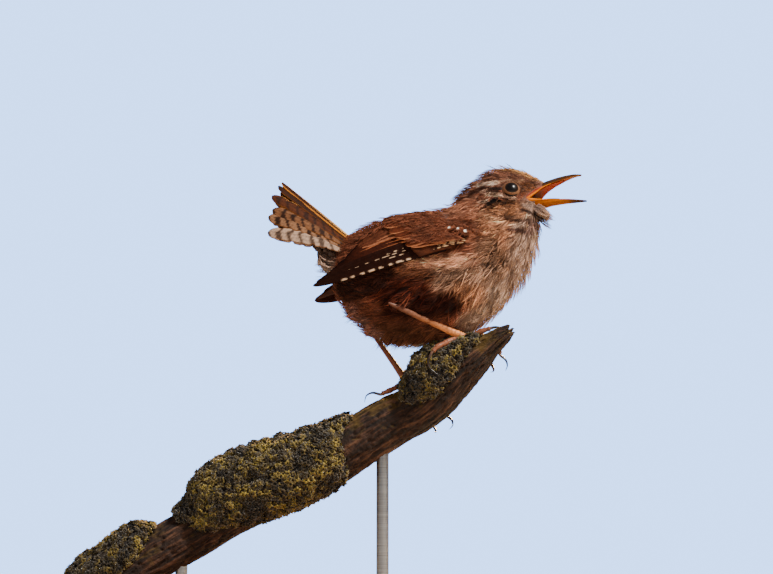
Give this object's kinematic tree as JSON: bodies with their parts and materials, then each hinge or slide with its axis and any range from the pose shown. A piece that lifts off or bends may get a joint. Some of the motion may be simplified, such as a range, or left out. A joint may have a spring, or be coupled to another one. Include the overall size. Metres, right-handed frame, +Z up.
{
  "type": "wren model on a branch perch",
  "caption": "Life-size singing wren with a cocked tail, gripping a mossy cut branch held above a flat base by rods.",
  "frame": {"origin": "middle of the underside of the stand's base, on the surface it stands on", "axes": "+Z up; +X the way the bird faces and the perch rises, the model's longest direction; the bird's right side faces -Y"},
  "size_m": [0.1371, 0.08, 0.1337],
  "materials": {
    "crown_plumage": "soft barred feathers",
    "buff_plumage": "soft barred feathers",
    "rufous_plumage": "close flight feathers with dark bars",
    "barred_plumage": "stiff tail feathers with dark bars",
    "bill_horn": "satin horn",
    "eye_dark": "wet gloss",
    "leg_skin": "scaled skin",
    "dark_horn": "polished horn",
    "bark": "rough bark",
    "moss_green": "moss and lichen tufts",
    "oiled_wood": "oiled, satin",
    "rod_steel": "brushed"
  },
  "bodies": {
    "root": {"head": "crown_plumage", "neck": "buff_plumage", "torso": "buff_plumage", "thigh_right": "buff_plumage", "thigh_left": "buff_plumage", "wing_right": "rufous_plumage", "wing_left": "rufous_plumage", "tail": "barred_plumage", "bill_upper": "bill_horn", "bill_lower": "bill_horn", "eye_right": "eye_dark", "eye_left": "eye_dark", "leg_right": "leg_skin", "leg_left": "leg_skin", "foot_right": "leg_skin", "foot_left": "leg_skin", "claw_right_hind": "dark_horn", "claw_right_inner": "dark_horn", "claw_right_middle": "dark_horn", "claw_right_outer": "dark_horn", "claw_left_hind": "dark_horn", "claw_left_inner": "dark_horn", "claw_left_middle": "dark_horn", "claw_left_outer": "dark_horn", "perch_branch": "bark", "perch_moss_top": "moss_green", "perch_moss_bulge": "moss_green", "perch_moss_low": "moss_green", "stand_base": "oiled_wood", "stand_rod_front": "rod_steel", "stand_rod_rear": "rod_steel"}
  },
  "joints": []
}
